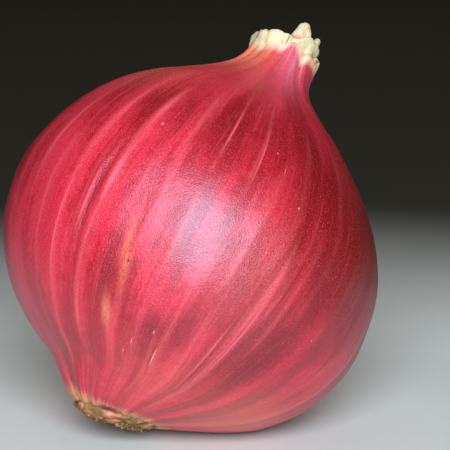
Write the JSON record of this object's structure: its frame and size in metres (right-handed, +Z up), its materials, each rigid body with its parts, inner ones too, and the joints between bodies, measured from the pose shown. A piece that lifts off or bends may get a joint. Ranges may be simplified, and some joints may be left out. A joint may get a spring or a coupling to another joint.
{
  "type": "red onion",
  "caption": "Whole red onion bulb with a trimmed root plate and a short dry torn neck, lying on its side on a small flat spot.",
  "frame": {"origin": "middle of the bounding box's base, on the surface that the bulb lies on", "axes": "+Z up; the neck leans over towards +X and +Y, 32 degrees from the vertical; -Y faces the viewer"},
  "size_m": [0.0736, 0.0752, 0.0801],
  "materials": {
    "onion_skin": "satin dry skin, crimson with paler stripes from root to neck, cream at the torn neck and tan at the root plate"
  },
  "bodies": {
    "root": {"onion": "onion_skin"}
  },
  "joints": []
}
